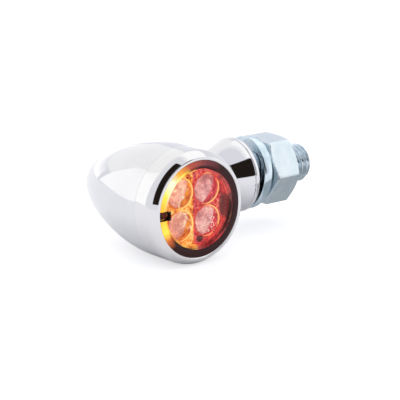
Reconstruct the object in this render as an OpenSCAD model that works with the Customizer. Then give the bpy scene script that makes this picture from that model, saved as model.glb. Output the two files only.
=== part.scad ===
// Bullet-shaped LED turn signal with a hollow threaded mounting stud.
//
// Millimetres. The origin is the centre of the stalk's end face, the shoulder that bears on the
// bracket. +X points out along the stud, -Y is the way the lens faces, and +Z is up.

/* [Bullet] */
// Outer diameter of the bullet and its front ring
bullet_d = 22.1; // [22:0.1:24]
// Length from the front of the lens to the tip of the tail
bullet_len = 35.2; // [34:0.1:40]
// Distance from the front of the lens to where the tail starts to curve in
parallel_len = 9.5; // [9:0.1:11]
// How full the tail is: higher keeps it fat for longer before it closes
tail_fullness = 1.6; // [1.4:0.1:2]
// Wall thickness of the cast housing
wall = 1.6; // [1.2:0.1:2]
// Distance from the front of the lens back to the stalk's axis
front_to_stalk = 17.4; // [17:0.1:19]

/* [Front ring] */
// Distance from the front of the lens to the ring's seam with the housing
ring_len = 6.1; // [6:0.1:6.5]
// Outer diameter of the flat front rim
rim_d = 20; // [19.8:0.1:20.4]
// Diameter of the opening that shows the lens
window_d = 18.7; // [18.5:0.1:18.9]
// Diameter of the recess behind the lip, which takes the lens, its seal and the carrier
recess_d = 20.2; // [20.1:0.1:20.3]

/* [Lens and optics] */
// Diameter of the raised middle of the lens
lens_middle_d = 15.6; // [15.2:0.1:15.8]
// Spacing of the four collimators, side to side and up and down
collimator_pitch = 6.3; // [6.2:0.05:6.4]
// Diameter of a collimator's dome
dome_d = 5.9; // [5.6:0.1:6]
// Width of the key that keeps the lens from turning
key_w = 1.4; // [1.2:0.1:1.5]

/* [Stalk] */
// Distance from the bullet's axis to the mounting shoulder
stalk_reach = 22.8; // [22.5:0.1:24]
// Diameter of the flared end of the stalk
flare_d = 15.3; // [15:0.1:16]
// Diameter of the stalk's waist
waist_d = 10.2; // [10:0.1:11]

/* [Stud, washer and nut] */
// Major diameter of the stud's thread, at the loose end of its tolerance
stud_d = 7.96; // [7.9:0.01:7.98]
// Pitch of the thread
pitch = 1.25; // [1:0.25:1.25]
// Length of the stud beyond the shoulder
stud_len = 17.1; // [16:0.1:30]
// Diameter of the cable passage through the stud
cable_bore_d = 4.6; // [4:0.1:5]
// Width across the flats of the nut
nut_af = 13; // [13:0.5:14]
// Height of the nut
nut_h = 6.5; // [6:0.1:7]
// How far the nut has been turned on its thread, in degrees
nut_clocking = 33.6; // [0:0.1:60]
// Outer diameter of the spring washer
washer_od = 14.8; // [14:0.1:15]
// Inner diameter of the spring washer
washer_id = 8.6; // [8.4:0.1:8.9]
// Thickness of the spring washer's wire
washer_t = 2; // [1.8:0.1:2]
// How far the spring washer climbs from one end of its turn to the other
washer_rise = 2.3; // [2:0.1:2.4]

/* [Hidden] */
$fn = 96;

// Gap between two fixed pieces that are assembled face to face
gap = 0.02;
// A cut runs past the surface that it opens by this much
past = 1;

bullet_r = bullet_d / 2;
recess_r = recess_d / 2;
stud_r = stud_d / 2;
nut_bore_r = stud_r + 0.05;

// Depths behind the front of the lens, from front to back
lens_front = 0;
ring_front = 0.2;
lens_edge_front = 0.35;
lip_back = 1.3;
lens_back = 1.2;
lens_flange = [lip_back + gap, 2.1];
seal_d = 0.8;
seal_depth = lens_flange[1] + gap + seal_d / 2;
carrier_flange = [seal_depth + seal_d / 2 + gap, 3.5];
spigot_front = carrier_flange[1] + gap;
dome_top = 1.6;
optic_plate = [2.4, 2.94];
web = [optic_plate[1] + gap, 3.7];
collimator_back = 6.6;
led_pocket = [5.4, collimator_back];
led_board_front = 7.5;
led_board_t = 0.8;
spreader = [led_board_front + led_board_t + gap, 10.3];
driver_front = 12.2;
driver_t = 0.8;
driver_back = driver_front + driver_t;
potting_front = 21.2;
cavity_end = 27;
cavity_tip = 29;

// Radii about the bullet's axis
lens_middle_r = lens_middle_d / 2;
fit_r = recess_r - 0.1;
window_r = window_d / 2;
spigot_r = recess_r - 0.08;
cavity_r = spigot_r - 0.8;
barrel_r = cavity_r - 0.1;
optic_r = lens_middle_r - gap;
dome_r = dome_d / 2;
key_slot_w = key_w + 0.35;
key_slot_end_r = 7.1;

// Places along the stud, from the shoulder outwards
washer_front = 0.02;
nut_front = 4.7;
nut_back = nut_front + nut_h;
stud_root = -8;
grommet = [-13.2, stud_root - gap];
passage_r = 2.9;
thread_start = 0.6;
thread_depth = 0.61 * pitch;
crest_w = pitch / 8;
root_w = pitch / 4;
groove_w = pitch - crest_w;
free_end_start = nut_back + 0.05;
stud_chamfer = 0.7;
washer_tilt = 0.6;
washer_start_angle = 285;
washer_turn = 345;

// Radius of the bullet's outer surface at a depth behind the front of the lens
function tail_r(depth) =
    let (along = max(0, (depth - parallel_len) / (bullet_len - parallel_len)))
    bullet_r * pow(1 - pow(min(along, 1), tail_fullness), 0.6);

// A rise from 0 to 1 that starts level and still climbs a little at its end
function flare_step(t) = t * t * (2.5 - 1.5 * t);

// Depths spaced closer and closer towards the far end of a curve that closes on its axis
function closing_depths(from, to, steps) = [for (i = [0:steps]) from + (to - from) * sin(90 * i / steps)];

// Centres of the collimators on one side: side is -1 for the amber pair and 1 for the red pair
function collimator_centres(side) =
    [for (row = [-1, 1]) [side * collimator_pitch / 2, row * collimator_pitch / 2]];

// Puts children drawn along +Z on the bullet's axis, with z = 0 at the front of the lens
module on_bullet() {
    translate([-stalk_reach, -front_to_stalk, 0])
        rotate([-90, 0, 0])
            children();
}

// Puts children drawn along +Z on the stud's axis, with z = 0 at the shoulder
module on_stud() {
    rotate([0, 90, 0])
        children();
}

// A round disc or tube between two distances along its axis
module tube(span, outer_r, inner_r = 0) {
    difference() {
        translate([0, 0, span[0]])
            cylinder(r = outer_r, h = span[1] - span[0]);
        if (inner_r > 0)
            translate([0, 0, span[0] - past])
                cylinder(r = inner_r, h = span[1] - span[0] + 2 * past);
    }
}

// A box centred on a point of a board, standing between two depths
module chip(centre, size, span) {
    translate([centre[0] - size[0] / 2, centre[1] - size[1] / 2, span[0]])
        cube([size[0], size[1], span[1] - span[0]]);
}

// ---- Casting ----

// The solid outside of the bullet behind the front ring, with the spigot that enters the ring
module bullet_outside() {
    rotate_extrude()
        polygon(concat(
            [[0, spigot_front], [spigot_r, spigot_front], [spigot_r, ring_len + gap]],
            [[bullet_r, ring_len + gap]],
            [for (depth = closing_depths(parallel_len, bullet_len, 28)) [tail_r(depth), depth]]
        ));
}

// The hollow for the boards, closed by a short cone like the tip of a drill
module bullet_cavity(clearance = 0) {
    tail_start = parallel_len + 2.5;
    rotate_extrude()
        polygon(concat(
            [[0, spigot_front - past], [cavity_r - clearance, spigot_front - past]],
            [[cavity_r - clearance, tail_start]],
            [for (i = [1:14])
                let (depth = tail_start + (cavity_end - tail_start) * i / 14)
                [min(cavity_r, tail_r(depth) - wall) - clearance, depth]],
            [[0, cavity_tip - clearance]]
        ));
}

// The turned stalk: a root that swells into the bullet, a waist and a flare with a round rim band
module stalk_outside() {
    waist = -9.5;
    band = [-1.05, -0.3];
    band_step = 0.12;
    root = -14;
    waist_r = waist_d / 2;
    band_r = flare_d / 2;
    neck_r = band_r - 0.2;
    shoulder_r = band_r - 0.25;
    root_swell = 1.5;
    buried_end = root - 4;
    rotate_extrude()
        polygon(concat(
            [[0, buried_end], [waist_r + root_swell, buried_end]],
            [for (i = [0:8])
                let (t = 1 - i / 8)
                [waist_r + root_swell * t * t, waist + (root - waist) * t]],
            [for (i = [1:14])
                let (t = i / 14)
                [waist_r + (neck_r - waist_r) * flare_step(t), waist + (band[0] - waist) * t]],
            [[band_r, band[0] + band_step], [band_r, band[1]], [shoulder_r, 0], [0, 0]]
        ));
}

module bullet_housing() {
    color("gainsboro")
        difference() {
            union() {
                on_bullet() bullet_outside();
                on_stud() stalk_outside();
            }
            on_bullet() bullet_cavity();
            on_stud() tube([stud_root - gap, past], stud_r + gap);
            on_stud() tube([-stalk_reach, stud_root], passage_r);
        }
}

// The ring that holds the lens: a flat rim, a broad bevel and a rounded shoulder
module front_ring() {
    lip_chamfer = 0.15;
    rim_r = rim_d / 2;
    rim_fall = 0.06;
    bevel = [bullet_r - 0.4, ring_front + 1.1];
    shoulder = [bullet_r - 0.1, bevel[1] + 0.65];
    shoulder_end = shoulder[1] + 0.6;
    color("whitesmoke")
        on_bullet()
            rotate_extrude()
                polygon([
                    [window_r, ring_front + lip_chamfer],
                    [window_r + lip_chamfer, ring_front],
                    [rim_r, ring_front + rim_fall],
                    bevel,
                    shoulder,
                    [bullet_r, shoulder_end],
                    [bullet_r, ring_len],
                    [recess_r, ring_len],
                    [recess_r, lip_back],
                    [window_r, lip_back]
                ]);
}

// ---- Lens and optics ----

// The key slot in the lens: a U that opens at the lens's edge, towards -X
module key_slot() {
    span = [-past, lens_back + past];
    round_centre = key_slot_end_r + key_slot_w / 2;
    translate([-round_centre, 0, 0])
        tube(span, key_slot_w / 2);
    chip([-(round_centre + bullet_r) / 2, 0], [bullet_r - round_centre, key_slot_w], span);
}

module front_lens() {
    lens_r = window_r - 0.05;
    inner_r = recess_r - 1.2;
    middle_edge = 0.2;
    crown = [(lens_middle_r + lens_r) / 2, lens_edge_front - 0.1];
    color("orangered", 0.5)
        on_bullet()
            difference() {
                rotate_extrude()
                    polygon([
                        [0, lens_front],
                        [lens_middle_r - middle_edge, lens_front],
                        [lens_middle_r, lens_edge_front],
                        crown,
                        [lens_r, lens_edge_front],
                        [lens_r, lens_flange[0]],
                        [fit_r, lens_flange[0]],
                        [fit_r, lens_flange[1]],
                        [inner_r, lens_flange[1]],
                        [inner_r, lens_back],
                        [0, lens_back]
                    ]);
                key_slot();
            }
}

module lens_seal() {
    seal_r = recess_r - 0.25 - seal_d / 2;
    color("dimgray")
        on_bullet()
            translate([0, 0, seal_depth])
                rotate_extrude()
                    translate([seal_r, 0])
                        circle(d = seal_d, $fn = 32);
}

// A block of the carrier's key, between two radii and two depths
module key_block(radii, span) {
    chip([-(radii[0] + radii[1]) / 2, 0], [radii[1] - radii[0], key_w], span);
}

// Black cup that holds the optics in front of the LED board, with the stepped key that enters
// the lens and stops the optics from turning
module optic_carrier() {
    cup_wall = 0.8;
    seat_outer_r = barrel_r - 0.2;
    dome_hole_r = dome_r - 0.05;
    key_step_r = 7.5;
    key_outer_r = 8.6;
    high_key = [0.9, carrier_flange[0] + 0.2];
    low_key = [1.3, web[1]];
    optic_recess = [web[0] - past, web[0]];
    color("black")
        on_bullet()
            difference() {
                union() {
                    tube(carrier_flange, fit_r, barrel_r - cup_wall);
                    tube([carrier_flange[0], led_board_front - gap], barrel_r, barrel_r - cup_wall);
                    tube([optic_plate[0], web[1]], seat_outer_r, optic_r + gap);
                    difference() {
                        tube(web, seat_outer_r);
                        tube(optic_recess, optic_r + gap);
                    }
                    key_block([key_step_r, key_outer_r], high_key);
                    key_block([key_slot_end_r, key_step_r], low_key);
                }
                for (side = [-1, 1])
                    for (centre = collimator_centres(side))
                        translate(centre)
                            tube([0, web[1] + past], dome_hole_r);
            }
}

// One collimator: a dome in front, and a cone that narrows to the pocket over its LED
module collimator() {
    rise = optic_plate[0] - dome_top;
    sphere_r = (dome_r * dome_r + rise * rise) / (2 * rise);
    half_angle = asin(dome_r / sphere_r);
    dome_steps = 8;
    cone_r = dome_r - 0.12;
    cone_top = [cone_r - 0.35, web[1] + 0.4];
    tip_r = 1.6;
    rotate_extrude()
        polygon(concat(
            [for (i = [0:dome_steps])
                let (a = half_angle * i / dome_steps)
                [sphere_r * sin(a), dome_top + sphere_r * (1 - cos(a))]],
            [[dome_r, optic_plate[1]], [cone_r, optic_plate[1]]],
            [cone_top, [tip_r, collimator_back], [0, collimator_back]]
        ));
}

// Half of the optic: a half disc with a skirt that meets the lens, and two collimators
module optic_half(side) {
    skirt = [lens_back + gap, optic_plate[1]];
    skirt_r = optic_r - 0.5;
    led_pocket_r = 1.2;
    on_bullet()
        difference() {
            union() {
                intersection() {
                    union() {
                        tube(optic_plate, optic_r);
                        tube(skirt, optic_r, skirt_r);
                    }
                    chip([side * (optic_r + gap), 0], [2 * optic_r, 2 * bullet_r], [0, bullet_len]);
                }
                for (centre = collimator_centres(side))
                    translate(centre)
                        collimator();
            }
            for (centre = collimator_centres(side))
                translate(centre)
                    tube([led_pocket[0], led_pocket[1] + past], led_pocket_r);
            chip([-(key_slot_end_r + bullet_r) / 2, 0], [bullet_r - key_slot_end_r, key_slot_w], [0, web[0]]);
        }
}

module amber_optic() {
    color("orange", 0.7)
        optic_half(-1);
}

module red_optic() {
    color("crimson", 0.7)
        optic_half(1);
}

// ---- Electronics ----

// Two LED packages, each a white body with its round die cover
module led_pair(side) {
    body_size = [2, 2];
    body_back = led_board_front - gap;
    body_front = body_back - 0.6;
    cover_front = body_front - 0.23;
    cover_r = 0.75;
    on_bullet()
        for (centre = collimator_centres(side)) {
            chip(centre, body_size, [body_front, body_back]);
            translate(centre)
                tube([cover_front, body_front + gap], cover_r);
        }
}

module amber_leds() {
    color("khaki")
        led_pair(-1);
}

module red_leds() {
    color("lightcoral")
        led_pair(1);
}

pin_r = 0.3;
pin_hole_r = pin_r + 0.05;
pin_pitch = 1.8;
pin_places = [for (i = [0:3]) [pin_pitch * (i - 1.5), -6.9]];

module pin_holes() {
    for (place = pin_places)
        translate(place)
            tube([0, bullet_len], pin_hole_r);
}

module led_board() {
    color("white")
        on_bullet()
            difference() {
                tube([led_board_front, led_board_front + led_board_t], barrel_r);
                pin_holes();
            }
}

// Aluminium disc that carries the LEDs' heat to the casting, relieved for the board pins
module heat_spreader() {
    relief_w = 7;
    relief_top = 6;
    color("silver")
        on_bullet()
            difference() {
                tube(spreader, barrel_r);
                chip(
                    [0, -relief_top - barrel_r / 2],
                    [relief_w, barrel_r],
                    [spreader[0] - past, spreader[1] + past]
                );
            }
}

module board_pins() {
    color("gold")
        on_bullet()
            for (place = pin_places)
                translate(place)
                    tube([led_board_front + 0.1, driver_back + 0.5], pin_r);
}

module driver_board() {
    board_r = barrel_r - 0.6;
    color("seagreen")
        on_bullet()
            difference() {
                tube([driver_front, driver_back], board_r);
                pin_holes();
                for (place = terminal_places)
                    translate(place)
                        tube([0, bullet_len], terminal_hole_r);
            }
}

behind_driver = [driver_back + gap, driver_back + gap + 1];
before_driver = [driver_front - gap - 0.9, driver_front - gap];

// One regulator for the amber circuit and one for the red circuit
module driver_chips() {
    color("darkslategray")
        on_bullet()
            for (side = [-1, 1])
                chip([side * 2.2, 3.2], [3, 3], behind_driver);
}

module smoothing_capacitors() {
    color("tan")
        on_bullet()
            for (side = [-1, 1])
                chip([side * 5.6, 0], [1.25, 2], behind_driver);
}

module current_resistors() {
    spacing = 2.4;
    resistor_span = [before_driver[1] - 0.5, before_driver[1]];
    color("dimgray")
        on_bullet()
            for (i = [0:3])
                chip([spacing * (i - 1.5), 3.5], [1.6, 0.8], resistor_span);
}

module polarity_diodes() {
    color("darkgray")
        on_bullet()
            for (side = [-1, 1])
                chip([side * 2.5, -1], [3.6, 1.8], before_driver);
}

terminal_r = 0.4;
terminal_hole_r = terminal_r + 0.05;
terminal_pitch = 2;
terminal_places = [for (i = [-1:1]) [4.8, terminal_pitch * i - 4.2]];

// Posts for the earth, signal and tail light leads
module lead_terminals() {
    color("goldenrod")
        on_bullet()
            for (place = terminal_places)
                translate(place)
                    tube([driver_front - 0.4, driver_back + 1.8], terminal_r);
}

// Resin that fills the tail behind the cable passage
module potting_plug() {
    color("black")
        on_bullet()
            intersection() {
                bullet_cavity(gap);
                tube([potting_front, cavity_tip], bullet_r);
            }
}

// ---- Stud and hardware ----

// Outline of one thread groove, cut as a ring, from its near edge
function groove_points(start) = let (flank = (groove_w - root_w) / 2) [
    [stud_r, start],
    [stud_r - thread_depth, start + flank],
    [stud_r - thread_depth, start + flank + root_w],
    [stud_r, start + groove_w]
];

// The thread is cut as rings as far as the nut reaches; beyond it the free end is left at the
// thread's major diameter, which is the size that a mating nut or sleeve has to clear
module hollow_stud() {
    grooves = floor((free_end_start - thread_start) / pitch);
    first_groove = free_end_start - grooves * pitch + crest_w;
    bore_r = cable_bore_d / 2;
    color("lightsteelblue")
        on_stud()
            rotate_extrude()
                polygon(concat(
                    [[bore_r, stud_root], [stud_r - stud_chamfer, stud_root]],
                    [[stud_r, stud_root + stud_chamfer]],
                    [for (i = [0:grooves - 1]) each groove_points(first_groove + i * pitch)],
                    [[stud_r, stud_len - stud_chamfer], [stud_r - stud_chamfer, stud_len]],
                    [[bore_r, stud_len]]
                ));
}

// Rubber bush that closes the passage around the leads, between the stud and the cavity
module lead_grommet() {
    leads_r = 1.8;
    color("dimgray")
        on_stud()
            tube(grommet, passage_r - gap, leads_r);
}

// Distance of the washer's near face from the shoulder, after part of its turn
function washer_climb(turned) = let (angle = washer_start_angle - turned)
    washer_rise * turned / washer_turn + washer_tilt * (1 + sin(angle)) + washer_front;

// The four corners of the washer's section at one angle, counted from +Y towards +Z
function washer_section(turned) =
    let (angle = washer_start_angle - turned, x = washer_climb(turned))
    [for (corner = [[washer_id, 0], [washer_od, 0], [washer_od, washer_t], [washer_id, washer_t]])
        [x + corner[1], corner[0] / 2 * cos(angle), corner[0] / 2 * sin(angle)]];

// A split ring that climbs like one turn of a spring, and leans a little on the stud
module spring_washer() {
    steps = 60;
    rings = [for (i = [0:steps]) washer_section(washer_turn * i / steps)];
    side_faces = [
        for (i = [0:steps - 1])
            for (k = [0:3])
                let (next = (k + 1) % 4)
                each [
                    [4 * i + k, 4 * i + next, 4 * (i + 1) + k],
                    [4 * i + next, 4 * (i + 1) + next, 4 * (i + 1) + k]
                ]
    ];
    end_faces = [[3, 2, 1, 0], [for (k = [0:3]) 4 * steps + k]];
    color("lightslategray")
        polyhedron(points = [for (ring = rings) each ring], faces = concat(side_faces, end_faces));
}

module hex_nut() {
    corner_r = nut_af / sqrt(3);
    face_r = 0.475 * nut_af;
    chamfer_h = (corner_r - face_r) * tan(30);
    countersink = 0.45;
    color("lightblue")
        on_stud()
            translate([0, 0, nut_front])
                difference() {
                    intersection() {
                        rotate([0, 0, nut_clocking])
                            cylinder(r = corner_r, h = nut_h, $fn = 6);
                        rotate_extrude()
                            polygon([
                                [0, 0],
                                [face_r, 0],
                                [corner_r + gap, chamfer_h],
                                [corner_r + gap, nut_h - chamfer_h],
                                [face_r, nut_h],
                                [0, nut_h]
                            ]);
                    }
                    tube([0, nut_h], nut_bore_r);
                    translate([0, 0, -gap])
                        cylinder(r1 = nut_bore_r + countersink + gap, r2 = nut_bore_r, h = countersink + gap);
                    translate([0, 0, nut_h - countersink])
                        cylinder(r1 = nut_bore_r, r2 = nut_bore_r + countersink + gap, h = countersink + gap);
                }
}

bullet_housing();
front_ring();
front_lens();
lens_seal();
optic_carrier();
amber_optic();
red_optic();
amber_leds();
red_leds();
led_board();
heat_spreader();
board_pins();
driver_board();
driver_chips();
smoothing_capacitors();
current_resistors();
polarity_diodes();
lead_terminals();
potting_plug();
hollow_stud();
lead_grommet();
spring_washer();
hex_nut();
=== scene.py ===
"""The look of the bullet turn signal, in Blender, over the CAD model as the frame.

Lengths are in millimetres until a mesh is made, and then in metres. The origin is the centre of the
stalk's end face, +X points out along the stud, -Y is the way the lens faces, and +Z is up.
"""

import math

import bmesh
import bpy
from mathutils import Matrix, Vector, noise


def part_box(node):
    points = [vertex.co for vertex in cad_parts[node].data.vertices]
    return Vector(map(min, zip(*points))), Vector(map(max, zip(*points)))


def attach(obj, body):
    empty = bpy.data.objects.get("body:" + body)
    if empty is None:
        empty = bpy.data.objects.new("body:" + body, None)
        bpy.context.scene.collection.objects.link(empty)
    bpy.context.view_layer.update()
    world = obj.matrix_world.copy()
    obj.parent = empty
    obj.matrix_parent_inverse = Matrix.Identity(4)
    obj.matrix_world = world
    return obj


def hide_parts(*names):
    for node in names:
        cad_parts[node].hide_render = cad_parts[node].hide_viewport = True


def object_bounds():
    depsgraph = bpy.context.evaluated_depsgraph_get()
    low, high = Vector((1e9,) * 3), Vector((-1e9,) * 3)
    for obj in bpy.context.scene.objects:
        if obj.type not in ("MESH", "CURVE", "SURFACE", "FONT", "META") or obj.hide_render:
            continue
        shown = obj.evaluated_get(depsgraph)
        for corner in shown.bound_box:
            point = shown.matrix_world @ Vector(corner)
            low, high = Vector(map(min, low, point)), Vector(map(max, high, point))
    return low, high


MM = 0.001
SEGMENTS = 240
SHARP_ANGLE = math.radians(32)

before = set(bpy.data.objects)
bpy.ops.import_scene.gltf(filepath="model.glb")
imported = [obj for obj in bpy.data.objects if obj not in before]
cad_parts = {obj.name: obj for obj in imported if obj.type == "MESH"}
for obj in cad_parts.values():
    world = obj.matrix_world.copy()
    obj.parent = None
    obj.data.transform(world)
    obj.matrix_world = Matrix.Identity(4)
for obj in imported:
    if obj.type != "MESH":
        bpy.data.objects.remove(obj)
cad_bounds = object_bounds()


# ---- Dimensions, from the CAD pieces ----


def box_mm(node):
    """The lowest and highest corner of a CAD node, in millimetres."""
    low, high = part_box(node)
    return Vector(low) / MM, Vector(high) / MM


ring_low, ring_high = box_mm("front_ring")
housing_high = box_mm("bullet_housing")[1]
lens_low = box_mm("front_lens")[0]
optic_low = box_mm("amber_optic")[0]
stud_low, stud_high = box_mm("hollow_stud")
grommet_low, grommet_high = box_mm("lead_grommet")
washer_low = box_mm("spring_washer")[0]
nut_low, nut_high = box_mm("hex_nut")

# The bullet, its front ring and its tail. Depths count from the front of the lens.
BULLET_R = (ring_high.x - ring_low.x) / 2
AXIS_X = (ring_high.x + ring_low.x) / 2
FRONT_Y = lens_low.y
BULLET_LEN = housing_high.y - FRONT_Y
PARALLEL_LEN = 9.5
TAIL_FULLNESS = 1.6
TAIL_BLUNTNESS = 0.6
WALL = 1.6
CAVITY_R = 9.2
RING_FRONT = ring_low.y - FRONT_Y
RING_END = ring_high.y - FRONT_Y
WINDOW_R = BULLET_R - 1.7
RIM_R = BULLET_R - 1.05
RIM_FALL = 0.06
LIP_CHAMFER = 0.15
LIP_BACK = 1.3
RECESS_R = 10.1
SEAM_GAP = 0.03
FIT_GAP = 0.02

# The lens and the optics behind it
LENS_EDGE_FRONT = 0.35
LENS_CROWN = 0.1
LENS_BACK = 1.2
FLANGE_BACK = 2.1
FIT_R = RECESS_R - 0.1
MIDDLE_R = 7.8
KEY_SLOT_W = 1.75
KEY_SLOT_END_R = 7.1
KEY_FRONT = 0.9
DOME_R = 2.95
DOME_PITCH = 6.3
DOME_TOP = 1.6
SKIRT_FRONT = optic_low.y - FRONT_Y
SKIRT_R = 7.28
PLATE_FRONT = 2.4
PLATE_BACK = 2.94
OPTIC_R = AXIS_X - optic_low.x
SLOT_HALF_ANGLE = math.degrees(math.asin(KEY_SLOT_W / 2 / SKIRT_R)) + 2
AMBER_ARCS = [(90, 180 - SLOT_HALF_ANGLE), (180 + SLOT_HALF_ANGLE, 270)]
RED_ARCS = [(-90, 90)]
# Edges of the pale image of each LED, painted light in its dome.
LED_IMAGE_EDGE = 0.65
LED_IMAGE_SLANT = 0.55
LED_IMAGE_R = 2.75
RIPPLE_PITCH = 0.4

# Painted shade: dark ragged ovals painted into the red plastic where it lies in shade. Each is across,
# up, half width and half height.
LOWER_SHADE_PATCH = (1.5, -6.45, 0.8, 0.6)
SIDE_SHADE_PATCH = (7.1, -0.8, 0.8, 2.3)

# The stalk
WAIST_X = -9.5
WAIST_R = 5.1
BAND_X = -1.05
BAND_R = 7.65
NECK_R = BAND_R - 0.2
SHOULDER_R = BAND_R - 0.25
FILLET_R = 7.2
FILLET_REACH = 2.0

# The stud, the washer and the nut
PITCH = 1.25
STUD_R = (stud_high.y - stud_low.y) / 2
STUD_END = stud_high.x
CABLE_BORE_R = 2.3
GROMMET_R = (grommet_high.y - grommet_low.y) / 2
WASHER_OUTER_R = 7.4
WASHER_INNER_R = 4.3
WASHER_T = 2.0
WASHER_RISE = 2.3
WASHER_TILT = 0.6
WASHER_START = math.radians(285)
WASHER_TURN = math.radians(345)
NUT_FRONT = nut_low.x
NUT_H = nut_high.x - nut_low.x
NUT_AF = 13.0
NUT_CLOCKING = math.radians(63.6)


# ---- Places ----

# Local z runs along the bullet's axis from the front of the lens, and local x is to the right (+X)
ON_BULLET = Matrix(((1, 0, 0, AXIS_X), (0, 0, 1, FRONT_Y), (0, -1, 0, 0), (0, 0, 0, 1)))
# Local z runs along the stud from the shoulder, and angles count from +Y towards +Z
ON_STUD = Matrix(((0, 0, 1, 0), (1, 0, 0, 0), (0, 1, 0, 0), (0, 0, 0, 1)))


def on_face(across, up, depth):
    """A point of the lens face: to the right of the axis, above it, and behind the lens front."""
    return Vector((AXIS_X + across, FRONT_Y + depth, up))


def around(angle, radius, along):
    """A point by angle, radius and distance along a local z axis."""
    return Vector((radius * math.cos(angle), radius * math.sin(angle), along))


# ---- Mesh building ----


def join_rows(mesh, near, far):
    """Faces between two loops of vertices. A loop of one vertex is a tip."""
    count = max(len(near), len(far))
    for i in range(count):
        k = (i + 1) % count
        if len(near) == 1:
            mesh.faces.new((near[0], far[k], far[i]))
        elif len(far) == 1:
            mesh.faces.new((near[i], near[k], far[0]))
        else:
            mesh.faces.new((near[i], near[k], far[k], far[i]))


def join_all(mesh, rows, closed=False, capped=False):
    """Faces from each loop to the next. Closed joins the last to the first, capped fills both ends."""
    for near, far in zip(rows, rows[1:]):
        join_rows(mesh, near, far)
    if closed:
        join_rows(mesh, rows[-1], rows[0])
    if capped:
        mesh.faces.new(rows[0])
        mesh.faces.new(rows[-1])


def softened(points, steps=4):
    """A closed outline of (x, y, rounding) points, as (x, y) pairs with the corners eased."""
    outline = []
    for i, (x, y, rounding) in enumerate(points):
        corner = Vector((x, y))
        if rounding == 0:
            outline.append(tuple(corner))
            continue
        before = Vector(points[i - 1][:2]) - corner
        after = Vector(points[(i + 1) % len(points)][:2]) - corner
        start = corner + before.normalized() * rounding
        end = corner + after.normalized() * rounding
        for k in range(steps + 1):
            t = k / steps
            outline.append(tuple(start * (1 - t) ** 2 + corner * 2 * t * (1 - t) + end * t * t))
    return outline


def loop_of(mesh, place, segments, radius_at, along):
    """A loop of vertices about the local z axis, its radius given by the angle."""
    loop = []
    for i in range(segments):
        angle = 2 * math.pi * i / segments
        loop.append(mesh.verts.new(place @ around(angle, radius_at(angle), along)))
    return loop


def lathe(mesh, profile, place, segments=SEGMENTS, closed=False):
    """Turns (radius, along) points about the local z axis. A point on the axis becomes a tip."""
    rows = []
    for radius, along in profile:
        if radius == 0:
            rows.append([mesh.verts.new(place @ Vector((0, 0, along)))])
        else:
            rows.append(loop_of(mesh, place, segments, lambda angle: radius, along))
    join_all(mesh, rows, closed)
    return rows


def object_from(name, mesh):
    """Makes a bmesh into an object of the scene, and frees it."""
    data = bpy.data.meshes.new(name)
    mesh.to_mesh(data)
    mesh.free()
    obj = bpy.data.objects.new(name, data)
    bpy.context.scene.collection.objects.link(obj)
    return obj


def make_piece(name, mesh, material, body="lamp", stands_for=(), sharp=SHARP_ANGLE):
    """Makes a mesh in millimetres into a shown piece that rides on a CAD body."""
    bmesh.ops.recalc_face_normals(mesh, faces=mesh.faces[:])
    bmesh.ops.scale(mesh, vec=(MM, MM, MM), verts=mesh.verts[:])
    obj = object_from(name, mesh)
    obj.data.polygons.foreach_set("use_smooth", [True] * len(obj.data.polygons))
    obj.data.set_sharp_from_angle(angle=sharp)
    obj.data.materials.append(material)
    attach(obj, body)
    if stands_for:
        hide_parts(*stands_for)
    return obj


def cut(obj, cutter):
    """Takes the cutter's shape out of a piece, and removes the cutter."""
    modifier = obj.modifiers.new("cut", "BOOLEAN")
    modifier.object = cutter
    modifier.solver = "EXACT"
    bpy.context.view_layer.update()
    evaluated = obj.evaluated_get(bpy.context.evaluated_depsgraph_get())
    result = bpy.data.meshes.new_from_object(evaluated)
    obj.modifiers.clear()
    obj.data = result
    obj.data.set_sharp_from_angle(angle=SHARP_ANGLE)
    bpy.data.objects.remove(cutter)


# ---- Materials ----


def srgb(red, green, blue):
    """A display colour from 0 to 255 as the linear colour that a shader takes."""
    linear = []
    for value in (red, green, blue):
        share = value / 255
        linear.append(share / 12.92 if share <= 0.04045 else ((share + 0.055) / 1.055) ** 2.4)
    return (*linear, 1.0)


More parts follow.
